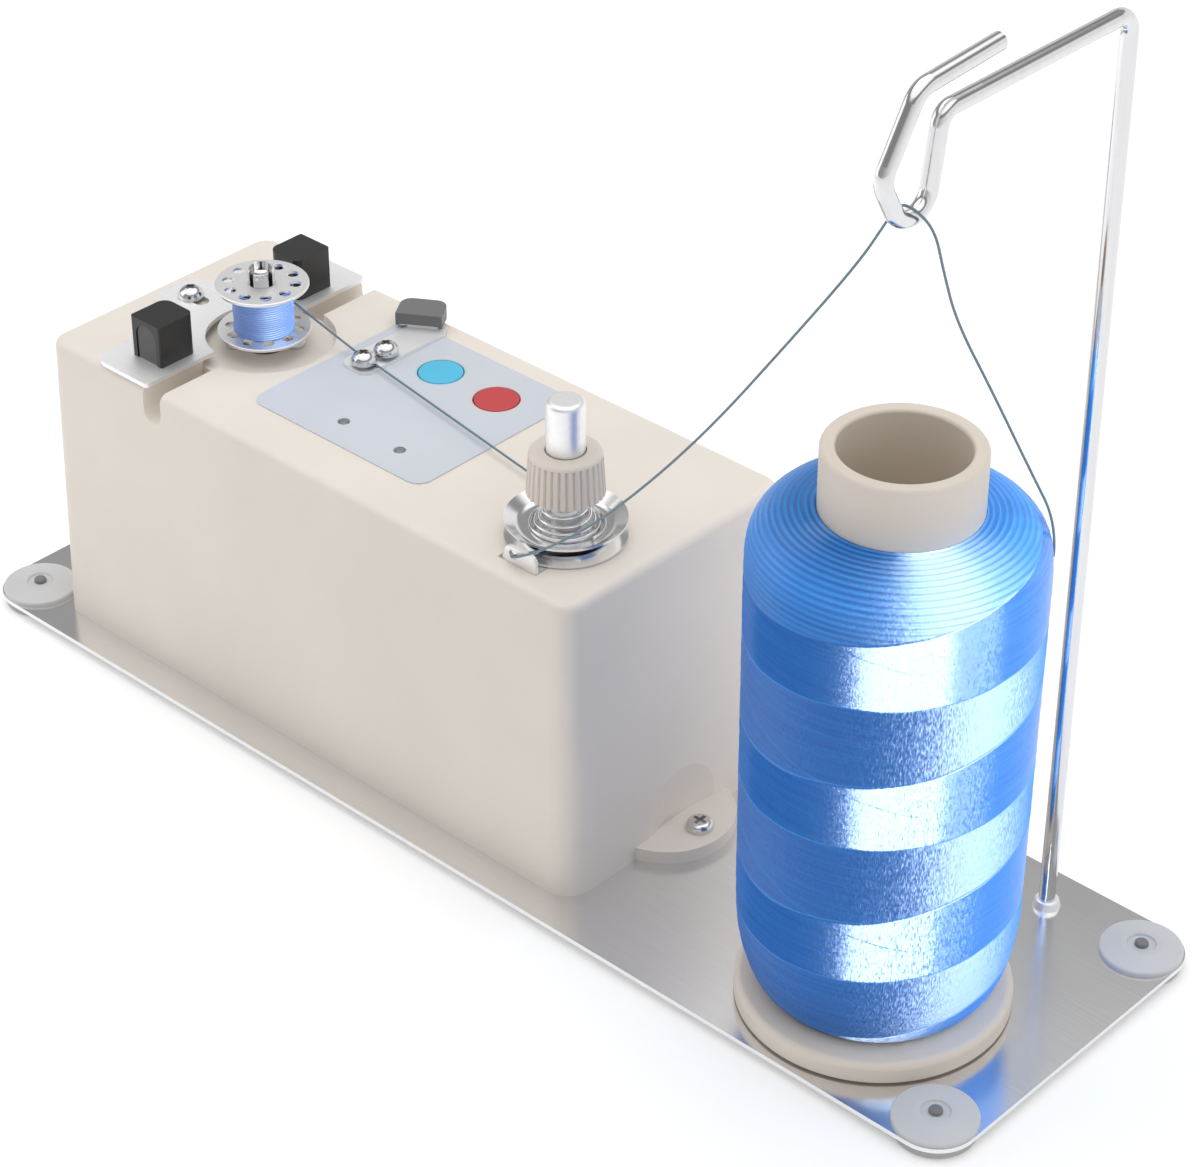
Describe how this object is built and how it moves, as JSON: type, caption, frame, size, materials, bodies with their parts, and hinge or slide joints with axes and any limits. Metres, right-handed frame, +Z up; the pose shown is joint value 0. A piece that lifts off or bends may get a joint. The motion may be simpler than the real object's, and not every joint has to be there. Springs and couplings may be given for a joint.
{
  "type": "bobbin winder",
  "caption": "Electric sewing bobbin winder: moulded motor housing with bobbin spindle, light-beam stop, disc tensioner and cutter, on a steel plate with a wire mast over a thread cone.",
  "frame": {"origin": "on the table under the middle of the base plate, between the four feet", "axes": "+X along the plate from the motor housing to the thread cone, +Y to the back where the mast stands, +Z up"},
  "size_m": [0.28, 0.084, 0.2096],
  "materials": {
    "plate_steel": "mirror polished stainless sheet",
    "foot_rubber": "translucent grey rubber",
    "foot_plastic": "translucent grey, smooth",
    "foot_pin": "grey nylon rivet",
    "housing_plastic": "fine satin moulding",
    "screw_steel": "bright zinc",
    "label_film": "printed film",
    "start_blue": "smooth",
    "stop_red": "smooth",
    "lamp_lens": "clear lens",
    "board_green": "lacquered laminate",
    "switch_black": "satin",
    "motor_steel": "plated",
    "motor_plastic": "satin",
    "bush_brass": "sintered",
    "shaft_steel": "ground",
    "rotor_iron": "laminated core",
    "spindle_steel": "bright turned pin",
    "bobbin_metal": "bright",
    "blue_thread": "polyester sewing thread",
    "bracket_steel": "bright sheet",
    "block_black": "satin",
    "lens_black": "smoked lens",
    "cutter_steel": "sheet",
    "blade_steel": "ground edge",
    "guard_grey": "satin",
    "tension_steel": "bright plated",
    "disc_chrome": "polished",
    "spring_steel": "spring wire",
    "knob_plastic": "fine ribs",
    "mast_chrome": "polished wire",
    "spool_plastic": "paper tube and moulded foot",
    "peg_plastic": "satin",
    "socket_black": "satin"
  },
  "bodies": {
    "frame": {"base_plate": "plate_steel", "board_screws": "screw_steel", "bracket_screw": "screw_steel", "cap_nut": "tension_steel", "circuit_board": "board_green", "cutter_blade": "blade_steel", "cutter_guard": "guard_grey", "cutter_strip": "cutter_steel", "foot_cap_1": "foot_plastic", "foot_cap_2": "foot_plastic", "foot_cap_3": "foot_plastic", "foot_cap_4": "foot_plastic", "foot_pad_1": "foot_rubber", "foot_pad_2": "foot_rubber", "foot_pad_3": "foot_rubber", "foot_pad_4": "foot_rubber", "foot_pins": "foot_pin", "guide_screws": "screw_steel", "housing": "housing_plastic", "housing_screws": "screw_steel", "led_power": "lamp_lens", "led_run": "lamp_lens", "mast_collar": "tension_steel", "motor_bushes": "bush_brass", "motor_can": "motor_steel", "motor_end_cap": "motor_plastic", "motor_screws": "screw_steel", "panel_label": "label_film", "peg_screw": "screw_steel", "post_nut": "tension_steel", "power_socket": "socket_black", "spool_peg": "peg_plastic", "start_switch": "switch_black", "stop_switch": "switch_black", "tension_base": "tension_steel", "tension_post": "tension_steel", "tension_spring": "spring_steel", "thread": "blue_thread", "wire_mast": "mast_chrome"},
    "spindle": {"motor_shaft": "shaft_steel", "rotor": "rotor_iron", "spindle_hub": "spindle_steel", "bobbin": "bobbin_metal", "bobbin_winding": "blue_thread", "bobbin_turns": "blue_thread"},
    "bracket": {"bracket_plate": "bracket_steel", "emitter_block": "block_black", "emitter_led": "lens_black", "detector_block": "block_black", "detector_led": "lens_black"},
    "start_key": {"start_button": "start_blue"},
    "stop_key": {"stop_button": "stop_red"},
    "discs": {"lower_disc": "disc_chrome", "upper_disc": "disc_chrome"},
    "follower": {"spring_cap": "disc_chrome"},
    "knob": {"tension_knob": "knob_plastic"},
    "spool": {"spool_core": "spool_plastic", "thread_cone": "blue_thread", "cone_turns": "blue_thread"}
  },
  "joints": [
    {"name": "spindle_spin", "type": "hinge", "parent": "frame", "child": "spindle", "pos_m": [-0.0854, 0, 0.07], "axis": [0, 0, 1], "continuous": true},
    {"name": "bracket_slide", "type": "slide", "parent": "frame", "child": "bracket", "axis": [1, 0, 0], "range_m": [-0.003, 0.0006]},
    {"name": "start_press", "type": "slide", "parent": "frame", "child": "start_key", "axis": [0, 0, -1], "range_m": [0, 0.00045], "stiffness_N_per_m": 400, "springref_m": -0.001},
    {"name": "stop_press", "type": "slide", "parent": "frame", "child": "stop_key", "axis": [0, 0, -1], "range_m": [0, 0.00045], "stiffness_N_per_m": 400, "springref_m": -0.001},
    {"name": "disc_spin", "type": "hinge", "parent": "frame", "child": "discs", "pos_m": [0.0168, -0.0127, 0.0749], "axis": [0, 0, 1], "continuous": true},
    {"name": "knob_travel", "type": "slide", "parent": "frame", "child": "follower", "axis": [0, 0, 1], "range_m": [-0.0012, 0.0012], "deforming": ["tension_spring"]},
    {"name": "knob_turn", "type": "hinge", "parent": "follower", "child": "knob", "pos_m": [0.0168, -0.0127, 0.084], "axis": [0, 0, 1], "range_deg": [-541.5, 541.5]},
    {"name": "spool_spin", "type": "hinge", "parent": "frame", "child": "spool", "pos_m": [0.0996, -0.013, 0.01], "axis": [0, 0, 1], "continuous": true}
  ],
  "couplings": [
    {"joint": "knob_turn", "follows": "knob_travel", "rad_per_m": 7854}
  ]
}
